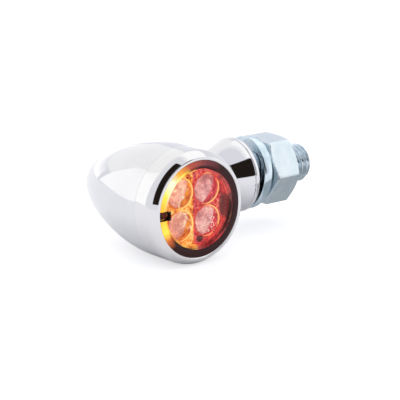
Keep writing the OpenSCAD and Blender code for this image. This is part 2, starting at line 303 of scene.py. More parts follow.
class Material:
    """A Principled material built up from object-space patterns."""

    def __init__(self, name, **values):
        self.material = bpy.data.materials.new(name)
        self.material.use_nodes = True
        self.tree = self.material.node_tree
        self.shader = self.tree.nodes["Principled BSDF"]
        self.position = self.tree.nodes.new("ShaderNodeTexCoord").outputs["Object"]
        for socket, value in values.items():
            self.shader.inputs[socket.replace("_", " ")].default_value = value

    def node(self, kind, **inputs):
        """A new node. Its inputs are given by name, with _ for a space."""
        new = self.tree.nodes.new(kind)
        for socket, value in inputs.items():
            self.feed(new.inputs[socket.replace("_", " ")], value)
        return new

    def feed(self, socket, value):
        """Links an input to another node's output, or sets it to a constant."""
        if isinstance(value, bpy.types.NodeSocket):
            self.tree.links.new(value, socket)
        else:
            socket.default_value = value

    def stretched(self, scale):
        """Object space scaled along each axis, for patterns that run one way."""
        mapping = self.node("ShaderNodeMapping", Vector=self.position, Scale=scale)
        return mapping.outputs["Vector"]

    def noise(self, scale, detail=4.0, roughness=0.55, stretch=None):
        """Clouds from 0 to 1. The scale is in clouds a metre."""
        vector = self.stretched(stretch) if stretch else self.position
        values = {"Scale": scale, "Detail": detail, "Roughness": roughness}
        return self.node("ShaderNodeTexNoise", Vector=vector, **values).outputs["Fac"]

    def cells(self, scale):
        """Distance from the middle of the nearest cell. The scale is in cells a metre."""
        new = self.node("ShaderNodeTexVoronoi", Vector=self.position, Scale=scale)
        return new.outputs["Distance"]

    def ramp(self, value, *stops):
        """Colours or greys by value. Each stop is (place, colour)."""
        new = self.node("ShaderNodeValToRGB", Fac=value)
        elements = new.color_ramp.elements
        while len(elements) < len(stops):
            elements.new(0.5)
        for element, (place, shade) in zip(elements, stops):
            element.position = place
            element.color = shade if isinstance(shade, tuple) else (shade, shade, shade, 1.0)
        return new.outputs["Color"]

    def spread(self, value, low, high):
        """Maps 0..1 to low..high."""
        new = self.node("ShaderNodeMapRange", Value=value, To_Min=low, To_Max=high)
        return new.outputs["Result"]

    def step(self, value, low, high):
        """Maps low..high to 0..1, held at both ends."""
        new = self.node("ShaderNodeMapRange", Value=value, From_Min=low, From_Max=high)
        return new.outputs["Result"]

    def past(self, value, limit, softness=0.1):
        """1 where a length in metres is past a limit in millimetres, and 0 short of it."""
        return self.step(value, (limit - softness) * MM, (limit + softness) * MM)

    def maths(self, operation, first, second=0.0):
        """One operation on one or two values."""
        new = self.tree.nodes.new("ShaderNodeMath")
        new.operation = operation
        self.feed(new.inputs[0], first)
        self.feed(new.inputs[1], second)
        return new.outputs["Value"]

    def blend(self, share, first, second):
        """The first colour where the share is 0, and the second where it is 1."""
        new = self.tree.nodes.new("ShaderNodeMix")
        new.data_type = "RGBA"
        self.feed(new.inputs["Factor"], share)
        self.feed(new.inputs["A"], first)
        self.feed(new.inputs["B"], second)
        return new.outputs["Result"]

    def mix_shaders(self, share, first, second):
        """The first shader where the share is 0, and the second where it is 1."""
        new = self.node("ShaderNodeMixShader", Fac=share)
        self.feed(new.inputs[1], first)
        self.feed(new.inputs[2], second)
        return new.outputs["Shader"]

    def surface(self, shader):
        """Shows a shader in place of the Principled one."""
        output = next(node for node in self.tree.nodes if node.type == "OUTPUT_MATERIAL")
        self.feed(output.inputs["Surface"], shader)

    def axis(self, index):
        """The x, y or z of object space, in metres."""
        new = self.node("ShaderNodeSeparateXYZ", Vector=self.position)
        return new.outputs[index]

    def diagonal(self, first, second):
        """The distance that two lengths at right angles make."""
        squares = [self.maths("MULTIPLY", length, length) for length in (first, second)]
        return self.maths("SQRT", self.maths("ADD", *squares))

    def shade_patch(self, across, up, half_width, half_height):
        """1 inside a ragged oval seen along the bullet, where shade is painted, and 0 outside it. Lengths
        are in millimetres.
        """
        beside = self.maths("SUBTRACT", self.axis(0), (AXIS_X + across) * MM)
        above = self.maths("SUBTRACT", self.axis(2), up * MM)
        shares = (
            self.maths("DIVIDE", beside, half_width * MM),
            self.maths("DIVIDE", above, half_height * MM),
        )
        ragged = self.spread(self.noise(900), -0.4, 0.4)
        outside, inside = 1.25, 0.85
        return self.step(self.maths("ADD", self.diagonal(*shares), ragged), outside, inside)

    def in_key_slot(self):
        """1 on the walls of the lens's key slot, and 0 elsewhere."""
        slack = 0.03 * MM
        inwards = self.maths("ADD", self.axis(0), (KEY_SLOT_END_R - AXIS_X) * MM)
        beside = self.maths("ABSOLUTE", self.axis(2))
        deep_enough = self.maths("LESS_THAN", inwards, slack)
        between_walls = self.maths("LESS_THAN", beside, KEY_SLOT_W / 2 * MM + slack)
        return self.maths("MULTIPLY", deep_enough, between_walls)

    def colour(self, value):
        """Sets the base colour."""
        self.feed(self.shader.inputs["Base Color"], value)

    def glowing(self, value, strength):
        """Sets the base colour, and adds the same colour again as a glow of painted light. On the lens
        plastics it stands in for light shining through thin plastic in soft light.
        """
        self.feed(self.shader.inputs["Emission Color"], value)
        self.shader.inputs["Emission Strength"].default_value = strength
        self.colour(value)

    def rough(self, value):
        """Sets the roughness."""
        self.feed(self.shader.inputs["Roughness"], value)

    def bump(self, height, depth, strength=0.5):
        """depth is the height of the pattern, in millimetres."""
        new = self.node("ShaderNodeBump", Height=height, Distance=depth * MM, Strength=strength)
        self.feed(self.shader.inputs["Normal"], new.outputs["Normal"])
        return self


def chrome(name, tint):
    """Polished chrome plate, with faint smears and a barely wavy casting underneath."""
    look = Material(name, Metallic=1.0)
    smears = look.noise(260, detail=6.0)
    look.colour(look.ramp(smears, (0.3, tint), (0.7, tuple(0.97 * c for c in tint[:3]) + (1.0,))))
    look.rough(look.spread(smears, 0.02, 0.07))
    return look.bump(look.noise(420, detail=2.0), 0.02, 0.08).material


def zinc(name, light, dark, smooth, dull):
    """Blue-passivated zinc plate, with the grain of the plating and faint handling marks."""
    look = Material(name, Metallic=1.0)
    clouds = look.noise(330, detail=5.0)
    grain = look.noise(5200, detail=2.0)
    look.colour(look.ramp(clouds, (0.32, dark), (0.68, light)))
    look.rough(look.spread(look.noise(1300, detail=6.0), smooth, dull))
    return look.bump(grain, 0.01, 0.25).material


def moulded(name, light, dark, smooth, dull, grain=2600):
    """Moulded plastic or rubber with a fine grain."""
    look = Material(name)
    look.colour(look.ramp(look.noise(grain / 4), (0.35, dark), (0.65, light)))
    look.rough(look.spread(look.noise(grain / 2), smooth, dull))
    return look.bump(look.noise(grain, detail=3.0), 0.01, 0.4).material


# ---- The casting: bullet and stalk ----


def tail_radius(depth):
    """Outer radius of the bullet at a depth behind the front of the lens."""
    along = max(0.0, (depth - PARALLEL_LEN) / (BULLET_LEN - PARALLEL_LEN))
    return BULLET_R * (1 - min(along, 1.0) ** TAIL_FULLNESS) ** TAIL_BLUNTNESS


def bullet_skin(y, z):
    """The point of the bullet's outer surface on the stalk's side, at that y and z."""
    radius = tail_radius(y - FRONT_Y)
    return Vector((AXIS_X + math.sqrt(max(0.0, radius * radius - z * z)), y, z))


def flare_step(t):
    """A rise from 0 to 1 that starts level and still climbs a little at its end."""
    return t * t * (2.5 - 1.5 * t)


def fillet_row(angles, t):
    """Points between the bullet's skin (t = 0) and the stalk's waist (t = 1)."""
    row = []
    for angle in angles:
        across = Vector((0, math.cos(angle), math.sin(angle)))
        foot = bullet_skin(FILLET_R * across.y, FILLET_R * across.z)
        nearer = bullet_skin((FILLET_R - 0.01) * across.y, (FILLET_R - 0.01) * across.z)
        waist = Vector((WAIST_X, 0, 0)) + WAIST_R * across
        near_handle = foot + FILLET_REACH * (nearer - foot).normalized()
        far_handle = waist - Vector((FILLET_REACH, 0, 0))
        row.append(
            foot * (1 - t) ** 3
            + near_handle * 3 * t * (1 - t) ** 2
            + far_handle * 3 * t * t * (1 - t)
            + waist * t**3
        )
    return row


def stalk_rows(angles):
    """Rows of points from the bullet's skin, over the fillet and the stalk, to the end of its bore."""
    fillet_steps = 14
    flare_steps = 26
    rows = [fillet_row(angles, step / fillet_steps) for step in range(fillet_steps + 1)]
    profile = []
    for step in range(1, flare_steps + 1):
        t = step / flare_steps
        radius = WAIST_R + (NECK_R - WAIST_R) * flare_step(t)
        profile.append((radius, WAIST_X + (BAND_X - WAIST_X) * t))
    profile += [
        (BAND_R - 0.06, BAND_X + 0.03),
        (BAND_R - 0.01, BAND_X + 0.1),
        (BAND_R, BAND_X + 0.2),
        (BAND_R, -0.42),
        (BAND_R - 0.02, -0.26),
        (BAND_R - 0.08, -0.12),
        (BAND_R - 0.16, -0.03),
        (SHOULDER_R, 0),
        (STUD_R + 0.3, 0),
        (STUD_R + FIT_GAP, -0.25),
        (STUD_R + FIT_GAP, stud_low.x - FIT_GAP),
        (GROMMET_R + FIT_GAP, stud_low.x - FIT_GAP),
        (GROMMET_R + FIT_GAP, grommet_low.x - FIT_GAP),
    ]
    for radius, along in profile:
        rows.append([ON_STUD @ around(angle, radius, along) for angle in angles])
    return rows


def passage_cutter():
    """A rod that opens the end of the stalk's bore into the hollow of the bullet."""
    mesh = bmesh.new()
    radius = GROMMET_R - FIT_GAP
    in_hollow = AXIS_X + 7
    in_bore = grommet_low.x + 0.3
    profile = [(0, in_hollow), (radius, in_hollow), (radius, in_bore), (0, in_bore)]
    lathe(mesh, profile, ON_STUD, segments=64)
    bmesh.ops.recalc_face_normals(mesh, faces=mesh.faces[:])
    bmesh.ops.scale(mesh, vec=(MM, MM, MM), verts=mesh.verts[:])
    return object_from("passage", mesh)


def open_skin(mesh, skin, depths):
    """Takes out the block of skin that faces the stalk, and returns the loop of vertices around it."""
    half_height = 7.8
    half_angle = math.radians(54)
    side = round(SEGMENTS * half_angle / (2 * math.pi))

    def row_nearest(y):
        return min(range(len(depths)), key=lambda row: abs(depths[row] + FRONT_Y - y))

    start = row_nearest(-half_height)
    end = row_nearest(half_height)
    inside = set()
    for j in range(start, end):
        for i in range(-side, side):
            corners = {skin[j][i], skin[j][i + 1], skin[j + 1][i], skin[j + 1][i + 1]}
            inside.update(face for face in skin[j][i].link_faces if set(face.verts) == corners)
    bmesh.ops.delete(mesh, geom=list(inside), context="FACES")
    loop = [skin[end][i] for i in range(-side, side)]
    loop += [skin[j][side] for j in range(end, start, -1)]
    loop += [skin[start][i] for i in range(side, -side, -1)]
    loop += [skin[j][-side] for j in range(start, end)]
    return loop


def grow_stalk(mesh, loop):
    """Carries the loop along the skin to the fillet, and on through the stalk to its bore."""
    approach_steps = 10
    angles = [math.atan2(vertex.co.z, vertex.co.y) for vertex in loop]
    near = loop
    for step in range(1, approach_steps):
        t = step / approach_steps
        far = []
        for vertex, angle in zip(loop, angles):
            y = vertex.co.y * (1 - t) + FILLET_R * math.cos(angle) * t
            z = vertex.co.z * (1 - t) + FILLET_R * math.sin(angle) * t
            far.append(mesh.verts.new(bullet_skin(y, z)))
        join_rows(mesh, near, far)
        near = far
    for row in stalk_rows(angles):
        far = [mesh.verts.new(point) for point in row]
        join_rows(mesh, near, far)
        near = far
    mesh.faces.new(near)


def build_housing(material):
    """Lathed bullet with an opening in its skin, from which the stalk grows without a seam."""
    mesh = bmesh.new()
    straight_steps = 6
    tail_steps = 84
    cavity_bend = 14.0
    cavity_tip = 29.0
    seam = RING_END + SEAM_GAP / 2
    edge = 0.03
    settled = seam + 0.4
    depths = [seam, seam + edge, settled]
    for step in range(1, straight_steps + 1):
        depths.append(settled + (PARALLEL_LEN - settled) * step / straight_steps)
    for step in range(1, tail_steps + 1):
        share = math.sin(math.pi / 2 * step / tail_steps)
        depths.append(PARALLEL_LEN + (BULLET_LEN - PARALLEL_LEN) * share)
    inner = [(CAVITY_R, seam), (CAVITY_R, cavity_bend)]
    inner += [(tail_radius(cavity_bend + past) - WALL, cavity_bend + past) for past in (3, 6, 9, 12)]
    inner += [(0, cavity_tip)]
    outer = [(BULLET_R - edge, seam)] + [(tail_radius(depth), depth) for depth in depths[1:-1]]
    outer += [(0, BULLET_LEN)]
    rows = lathe(mesh, list(reversed(inner)) + outer, ON_BULLET)
    grow_stalk(mesh, open_skin(mesh, rows[len(inner):], depths))
    loose = [vertex for vertex in mesh.verts if not vertex.link_faces]
    bmesh.ops.delete(mesh, geom=loose, context="VERTS")
    shell = make_piece("housing_shell", mesh, material, stands_for=("bullet_housing",))
    cut(shell, passage_cutter())


def build_ring(material):
    """The ring that holds the lens: a flat rim, a broad bevel and a rounded shoulder."""
    end = RING_END - SEAM_GAP / 2
    outline = softened(
        [
            (WINDOW_R, LIP_BACK, 0),
            (WINDOW_R, RING_FRONT + LIP_CHAMFER, 0.05),
            (WINDOW_R + LIP_CHAMFER, RING_FRONT, 0.05),
            (RIM_R, RING_FRONT + RIM_FALL, 0.08),
            (BULLET_R - 0.4, RING_FRONT + 1.1, 0.2),
            (BULLET_R - 0.1, RING_FRONT + 1.75, 0.3),
            (BULLET_R, RING_FRONT + 2.35, 0.3),
            (BULLET_R, end, 0.03),
            (RECESS_R, end, 0),
            (RECESS_R, LIP_BACK, 0),
        ]
    )
    mesh = bmesh.new()
    lathe(mesh, outline, ON_BULLET, closed=True)
    make_piece("ring_shell", mesh, material, stands_for=("front_ring",))


# ---- Lens and optics ----


def key_slot_cutter():
    """A U that opens at the lens's edge, towards -X."""
    mesh = bmesh.new()
    steps = 16
    overshoot = 1.0
    half = KEY_SLOT_W / 2
    outline = [(-WINDOW_R - overshoot, half), (-WINDOW_R - overshoot, -half)]
    for step in range(steps + 1):
        angle = math.pi * step / steps - math.pi / 2
        outline.append((-KEY_SLOT_END_R - half + half * math.cos(angle), half * math.sin(angle)))
    rows = []
    for depth in (-overshoot, FLANGE_BACK + overshoot / 2):
        rows.append([mesh.verts.new(on_face(across, up, depth) * MM) for across, up in outline])
    join_all(mesh, rows, capped=True)
    bmesh.ops.recalc_face_normals(mesh, faces=mesh.faces[:])
    return object_from("slot", mesh)


def build_lens(edge_material, window_material):
    """The lens as its dark moulded edge and its clear raised middle."""
    edge_r = WINDOW_R - 0.03
    inner_r = RECESS_R - 1.2
    crown_steps = 8
    outline = [(MIDDLE_R, LENS_BACK, 0), (MIDDLE_R, LENS_EDGE_FRONT, 0)]
    for step in range(1, crown_steps):
        share = step / crown_steps
        rise = LENS_CROWN * math.sin(math.pi * share)
        outline.append((MIDDLE_R + (edge_r - MIDDLE_R) * share, LENS_EDGE_FRONT - rise, 0))
    outline += [
        (edge_r, LENS_EDGE_FRONT, 0),
        (edge_r, LIP_BACK + 0.02, 0),
        (FIT_R, LIP_BACK + 0.02, 0),
        (FIT_R, FLANGE_BACK, 0),
        (inner_r, FLANGE_BACK, 0),
        (inner_r, LENS_BACK, 0),
    ]
    mesh = bmesh.new()
    lathe(mesh, softened(outline), ON_BULLET, closed=True)
    edge = make_piece("lens_edge", mesh, edge_material, stands_for=("front_lens",))
    cut(edge, key_slot_cutter())

    round_r = 0.2
    round_steps = 6
    clear_r = MIDDLE_R - 0.03
    middle = [(0, LENS_BACK - 0.02), (clear_r, LENS_BACK - 0.02)]
    for step in range(round_steps + 1):
        angle = math.pi / 2 * step / round_steps
        middle.append((clear_r - round_r * (1 - math.cos(angle)), round_r * (1 - math.sin(angle))))
    middle.append((0, 0))
    mesh = bmesh.new()
    lathe(mesh, middle, ON_BULLET)
    window = make_piece("lens_window", mesh, window_material, stands_for=("front_lens",))
    cut(window, key_slot_cutter())


def lens_edge_look():
    """Dark smoked plastic that glows yellow on the left, where light leaks in beside the key."""
    look = Material("lens_edge", Roughness=0.05, Specular_IOR_Level=0.2)
    across = look.maths("SUBTRACT", AXIS_X * MM, look.axis(0))
    up = look.axis(2)
    turned = look.maths("ARCTAN2", up, across)
    turned = look.maths("ADD", turned, look.spread(look.noise(900, detail=3.0), -0.09, 0.09))
    first_turn = -60
    last_turn = 140
    place = look.step(turned, math.radians(first_turn), math.radians(last_turn))

    def round_ramp(*stops):
        """Each stop is (degrees from the left towards the top, colour)."""
        turns = [((turn - first_turn) / (last_turn - first_turn), shade) for turn, shade in stops]
        return look.ramp(place, *turns)

    smoke = srgb(42, 15, 15)
    amber = srgb(250, 172, 46)
    honey = srgb(255, 224, 80)
    cream = srgb(255, 250, 206)
    # Painted light: the yellow glow and its cream highlights are painted in by angle around the lens.
    outer = round_ramp(
        (-46, smoke), (-35, srgb(206, 100, 46)), (-22, honey), (4, amber), (26, honey), (42, cream),
        (56, srgb(248, 172, 56)), (74, srgb(176, 80, 62)), (100, srgb(112, 52, 56)), (128, smoke),
    )
    inner = round_ramp(
        (-43, smoke), (-33, srgb(190, 84, 32)), (-22, honey), (4, amber), (38, cream),
        (62, honey), (76, srgb(140, 46, 34)), (92, smoke), (138, srgb(60, 20, 20)),
    )
    inner_edge_r = 8.3
    shade = look.blend(look.past(look.diagonal(across, up), inner_edge_r, 0.2), inner, outer)
    # Painted shade: the walls of the key slot are painted near-black for the shade inside the slot.
    shade = look.blend(look.in_key_slot(), shade, srgb(20, 8, 8))
    look.glowing(shade, 0.22)
    return look.bump(look.noise(700, detail=2.0), 0.015, 0.2).material


def lens_window_look():
    """Clear plastic: what lies behind it shows straight through, under a thin gloss."""
    look = Material("lens_window")
    haze = look.ramp(look.noise(300), (0.3, srgb(250, 244, 242)), (0.7, srgb(255, 250, 248)))
    clear = look.node("ShaderNodeBsdfTransparent", Color=haze)
    gloss = look.node("ShaderNodeBsdfGlossy", Roughness=0.03)
    fresnel = look.node("ShaderNodeFresnel", IOR=1.22)
    face = look.mix_shaders(fresnel.outputs["Fac"], clear.outputs["BSDF"], gloss.outputs["BSDF"])
    # Painted shade: on the walls of the key slot the clear window gives way to near-black, for the shade
    # inside the slot.
    look.colour(look.ramp(look.noise(900), (0.3, srgb(16, 7, 7)), (0.7, srgb(30, 12, 10))))
    look.surface(look.mix_shaders(look.in_key_slot(), face, look.shader.outputs["BSDF"]))
    return look.material


def dome_places(side):
    """Where the lower and the upper dome of a side stand."""
    half = DOME_PITCH / 2
    return [ON_BULLET @ Matrix.Translation((side * half, row * half, 0)) for row in (1, -1)]


def glint_marks(look, scale, width):
    """1 along thin wandering lines, and 0 elsewhere. The lines stand for moulded marks, and bright glints
    are painted along them.
    """
    swirl = look.noise(scale, detail=1.0)
    level = 0.52
    off_line = look.maths("ABSOLUTE", look.maths("SUBTRACT", swirl, level))
    return look.step(off_line, width, width / 3)


def optic_look(name, deep, middle, light, glint, mark_width):
    """Coloured clear plastic in broken cells, with painted light: glints painted into the brightest cells
    and along thin marks, a painted glow, and dark patches of painted shade.
    """
    look = Material(name, Roughness=0.14, Coat_Weight=0.4)
    cells = look.maths("MULTIPLY", look.cells(1500), 0.5)
    clouds = look.maths("MULTIPLY", look.noise(430, detail=6.0, roughness=0.7), 0.8)
    # Painted highlight: the brightest cells take the colour of the glints.
    shade = look.ramp(
        look.maths("ADD", cells, clouds), (0.42, deep), (0.54, middle), (0.7, light), (0.9, glint)
    )
    # Painted highlight: glints painted along thin marks.
    lines = glint_marks(look, 760, mark_width)
    shade = look.blend(look.maths("MULTIPLY", lines, look.step(clouds, 0.36, 0.42)), shade, glint)
    # Painted shade: dark ragged patches.
    shade = look.blend(look.shade_patch(*LOWER_SHADE_PATCH), shade, srgb(84, 36, 32))
    shade = look.blend(look.shade_patch(*SIDE_SHADE_PATCH), shade, srgb(124, 46, 44))
    look.glowing(shade, 0.28)
    return look.bump(look.noise(1100, detail=3.0), 0.15, 0.8).material


def skirt_look(name, deep, light):
    """The optic's wall: coloured plastic, with light streaks and a glow painted on for the light it
    carries along its ribs, and a patch of painted shade.
    """
    look = Material(name, Roughness=0.16, Coat_Weight=0.25)
    streaks = look.noise(700, detail=5.0, stretch=(1, 2.5, 1))
    shade = look.ramp(streaks, (0.34, deep), (0.62, light))
    # Painted shade: a dark ragged patch.
    shade = look.blend(look.shade_patch(*SIDE_SHADE_PATCH), shade, srgb(118, 42, 42))
    look.glowing(shade, 0.5)
    return look.bump(look.noise(1700, detail=3.0), 0.04, 0.5).material


def off_dome(look):
    """How far a point lies to the right of and above the middle of its dome, in metres."""
    offsets = []
    for index, middle in ((0, AXIS_X), (2, 0.0)):
        place = look.maths("SUBTRACT", look.axis(index), middle * MM)
        centre = look.maths("MULTIPLY", look.maths("SIGN", place), DOME_PITCH / 2 * MM)
        offsets.append(look.maths("SUBTRACT", place, centre))
    return offsets


def dome_look(name, pale, deep, glint, mark_width):
    """A collimator, with painted light: a painted pale image of its LED fills it up to a slanting edge on
    the right, with darker rings painted into it near its crown, painted glints along thin marks and a
    painted glow.
    """
    look = Material(name, Roughness=0.1, Coat_Weight=0.35)
    across, up = off_dome(look)
    clouds = look.noise(420, detail=6.0, roughness=0.68)
    ragged = look.spread(clouds, -0.4 * MM, 0.4 * MM)
    slant = look.maths("SUBTRACT", across, look.maths("MULTIPLY", up, LED_IMAGE_SLANT))
    past_edge = look.past(look.maths("ADD", slant, ragged), LED_IMAGE_EDGE)
    radius = look.diagonal(across, up)
    past_round = look.past(look.maths("ADD", radius, ragged), LED_IMAGE_R)
    # Painted light: the pale image of the LED, with darker rings painted into it near the crown.
    image = look.ramp(clouds, (0.36, pale[0]), (0.5, pale[1]), (0.62, pale[2]))
    wave = look.maths("SINE", look.maths("MULTIPLY", radius, 2 * math.pi / (RIPPLE_PITCH * MM)))
    crown_r = 1.4
    near_crown = look.past(radius, crown_r, -0.2)
    ripple = look.maths("MULTIPLY", look.step(wave, 0.1, 0.9), near_crown)
    image = look.blend(look.maths("MULTIPLY", ripple, 0.5), image, pale[0])
    side = look.ramp(look.noise(700, detail=4.0), (0.38, deep[0]), (0.6, deep[1]))
    shade = look.blend(look.maths("MAXIMUM", past_edge, past_round), image, side)
    # Painted highlight: bright glints painted along thin marks.
    marks = look.maths("MULTIPLY", glint_marks(look, 620, mark_width), look.step(clouds, 0.48, 0.54))
    shade = look.blend(marks, shade, glint)
    look.glowing(shade, 0.3)
    return look.bump(look.noise(800, detail=3.0), 0.08, 0.6).material


def rim_look(name, light, dark):
    """The thin edge of a dome, with painted light: painted brightest on its right and darker on its left,
    with a painted glow.
    """
    look = Material(name, Roughness=0.15, Coat_Weight=0.4)
    across = off_dome(look)[0]
    place = look.maths("ADD", across, look.spread(look.noise(400, detail=2.0), -2.5 * MM, 2.5 * MM))
    shade = look.ramp(look.step(place, -1.2 * MM, 1.2 * MM), (0.0, dark), (1.0, light))
    look.glowing(shade, 0.5)
    return look.bump(look.noise(2500), 0.02, 0.3).material


def optic_piece(hue, part, mesh, material, sharp=SHARP_ANGLE):
    """A shown piece of one colour's half of the optic."""
    make_piece(f"{hue}_{part}", mesh, material, stands_for=(f"{hue}_optic",), sharp=sharp)


def build_domes(side, hue, material):
    """Two collimator domes, each with fine rings about its crown."""
    mesh = bmesh.new()
    rise = PLATE_FRONT + 0.1 - DOME_TOP
    sphere_r = (DOME_R**2 + rise**2) / (2 * rise)
    steps = 40
    ripple_height = 0.012
    ripple_reach = 1.9
    foot = PLATE_BACK + 0.5
    for place in dome_places(side):
        profile = []
        for step in range(steps + 1):
            radius = DOME_R * step / steps
            depth = DOME_TOP + sphere_r - math.sqrt(sphere_r**2 - radius**2)
            fading = max(0.0, 1 - radius / ripple_reach)
            ripple = ripple_height * math.sin(2 * math.pi * radius / RIPPLE_PITCH) * fading
            profile.append((radius, depth + ripple))
        profile += [(DOME_R, foot), (0, foot)]
        lathe(mesh, profile, place, segments=96)
    optic_piece(hue, "domes", mesh, material)


def build_dome_rims(side, hue, material):
    """The thin raised edge round each dome."""
    mesh = bmesh.new()
    rim_r = 0.12
    steps = 10
    centre_r = DOME_R + 0.02
    centre_depth = PLATE_FRONT - 0.05
    for place in dome_places(side):
        outline = []
        for step in range(steps):
            angle = 2 * math.pi * step / steps
            outline.append((centre_r + rim_r * math.cos(angle), centre_depth + rim_r * math.sin(angle)))
        lathe(mesh, outline, place, segments=96, closed=True)
    optic_piece(hue, "dome_rims", mesh, material)


def web_depth(across, up, side):
    """Depth of the web's broken relief: cells with creased edges, on a gentle swell."""
    cells_per_mm = 1.5
    crease_sharpness = 3.5
    crease_height = 0.16
    swell_height = 0.14
    other_cells = Vector((17.0 * side, 3.0, 5.0))
    spot = Vector((across, up, 0)) * cells_per_mm + other_cells
    nearest = noise.voronoi(spot)[0]
    crease = 1 - min(1.0, crease_sharpness * (nearest[1] - nearest[0]))
    swell = noise.noise(spot * 2.3)
    return PLATE_FRONT + 0.12 - crease_height * crease - swell_height * swell


def build_web(side, hue, material):
    """The faceted web between the domes: a half disc with real relief."""
    mesh = bmesh.new()
    spokes = 150
    steps = 64
    middle_gap = 0.02
    rows = []
    for j in range(steps + 1):
        radius = middle_gap + (OPTIC_R - 2 * middle_gap) * j / steps
        row = []
        for i in range(spokes + 1):
            angle = math.pi * (i / spokes - 0.5)
            across = side * (middle_gap + radius * math.cos(angle))
            up = radius * math.sin(angle)
            row.append(mesh.verts.new(on_face(across, up, web_depth(across, up, side))))
        rows.append(row)
    for near, far in zip(rows, rows[1:]):
        for i in range(spokes):
            mesh.faces.new((near[i], near[i + 1], far[i + 1], far[i]))
    border = [row[0] for row in rows] + rows[-1][1:-1] + [row[-1] for row in reversed(rows)]
    border += list(reversed(rows[0][1:-1]))
    back = [mesh.verts.new(Vector((v.co.x, FRONT_Y + PLATE_BACK, v.co.z))) for v in border]
    join_rows(mesh, border, back)
    mesh.faces.new(back)
    optic_piece(hue, "web", mesh, material, sharp=math.radians(20))


def build_skirt(arcs, hue, material):
    """The optic's wall, from its plate to the lens, with fine ribs inside. Arcs are in degrees."""
    mesh = bmesh.new()
    ribs_per_degree = 0.25
    rib_depth = 0.07
    for first, last in arcs:
        steps = int(abs(last - first))
        rows = []
        for i in range(steps + 1):
            turned = first + (last - first) * i / steps
            inner_r = SKIRT_R + rib_depth * math.cos(2 * math.pi * turned * ribs_per_degree)
            angle = math.radians(turned)
            corners = (
                (inner_r, SKIRT_FRONT),
                (OPTIC_R, SKIRT_FRONT),
                (OPTIC_R, PLATE_BACK),
                (inner_r, PLATE_BACK),
            )
            row = []
            for radius, depth in corners:
                point = on_face(radius * math.cos(angle), radius * math.sin(angle), depth)
                row.append(mesh.verts.new(point))
            rows.append(row)
        join_all(mesh, rows, capped=True)
    optic_piece(hue, "skirt", mesh, material)


def build_optic(side, hue, web, dome, rim, skirt, arcs):
    """One colour's half of the optic, on the left (-1) or the right (1), from its four materials."""
    build_web(side, hue, web)
    build_skirt(arcs, hue, skirt)
    build_domes(side, hue, dome)
    build_dome_rims(side, hue, rim)


# ---- Stud, washer and nut ----


def thread_radius(turn_share):
    """Radius across one pitch of a 60 degree thread: flat crest, flank, flat root, flank."""
    depth = 0.61 * PITCH
    crest, root = 0.125, 0.25
    flank = (1 - crest - root) / 2
    share = turn_share % 1.0
    if share < crest:
        return STUD_R
    if share < crest + flank:
        return STUD_R - depth * (share - crest) / flank
    if share < crest + flank + root:
        return STUD_R - depth
    return STUD_R - depth * (1 - share) / flank


def build_stud(material):
    """The hollow stud with a right-hand thread, drawn as one helix over its whole length."""
    mesh = bmesh.new()
    segments = 120
    per_pitch = 16
    chamfer = 0.75
    bore_ease = 0.25
    plain_r = STUD_R - 0.4
    thread_start = 0.3
    count = int((STUD_END - thread_start) / PITCH * per_pitch)
    rows = []

    def add_loop(radius_at, along):
        rows.append(loop_of(mesh, ON_STUD, segments, radius_at, along))

    def add_thread_loop(along):
        ending = STUD_R - chamfer + STUD_END - along

        def radius_at(angle):
            return min(ending, thread_radius(along / PITCH - angle / (2 * math.pi)))

        add_loop(radius_at, along)

    add_loop(lambda angle: CABLE_BORE_R, stud_low.x)
    add_loop(lambda angle: plain_r, stud_low.x)
    add_loop(lambda angle: plain_r, 0)
    for k in range(count + 1):
        add_thread_loop(thread_start + (STUD_END - thread_start) * k / count)
    add_loop(lambda angle: CABLE_BORE_R + bore_ease, STUD_END)
    add_loop(lambda angle: CABLE_BORE_R, STUD_END - bore_ease)
    join_all(mesh, rows, closed=True)
    make_piece("threaded_stud", mesh, material, stands_for=("hollow_stud",))


def build_washer(material):
    """A split ring that climbs like one turn of a spring, with its edges eased."""
    mesh = bmesh.new()
    steps = 180
    ease = 0.22
    outline = softened(
        [
            (WASHER_INNER_R, 0, ease),
            (WASHER_OUTER_R, 0, ease),
            (WASHER_OUTER_R, WASHER_T, ease),
            (WASHER_INNER_R, WASHER_T, ease),
        ],
        steps=3,
    )
    rows = []
    for step in range(steps + 1):
        turned = WASHER_TURN * step / steps
        angle = WASHER_START - turned
        climb = WASHER_RISE * step / steps + WASHER_TILT * (1 + math.sin(angle)) + washer_low.x
        row = []
        for radius, along in outline:
            row.append(mesh.verts.new(ON_STUD @ around(angle, radius, climb + along)))
        rows.append(row)
    join_all(mesh, rows, capped=True)
    make_piece(
        "split_washer", mesh, material, body="washer", stands_for=("spring_washer",)
    )


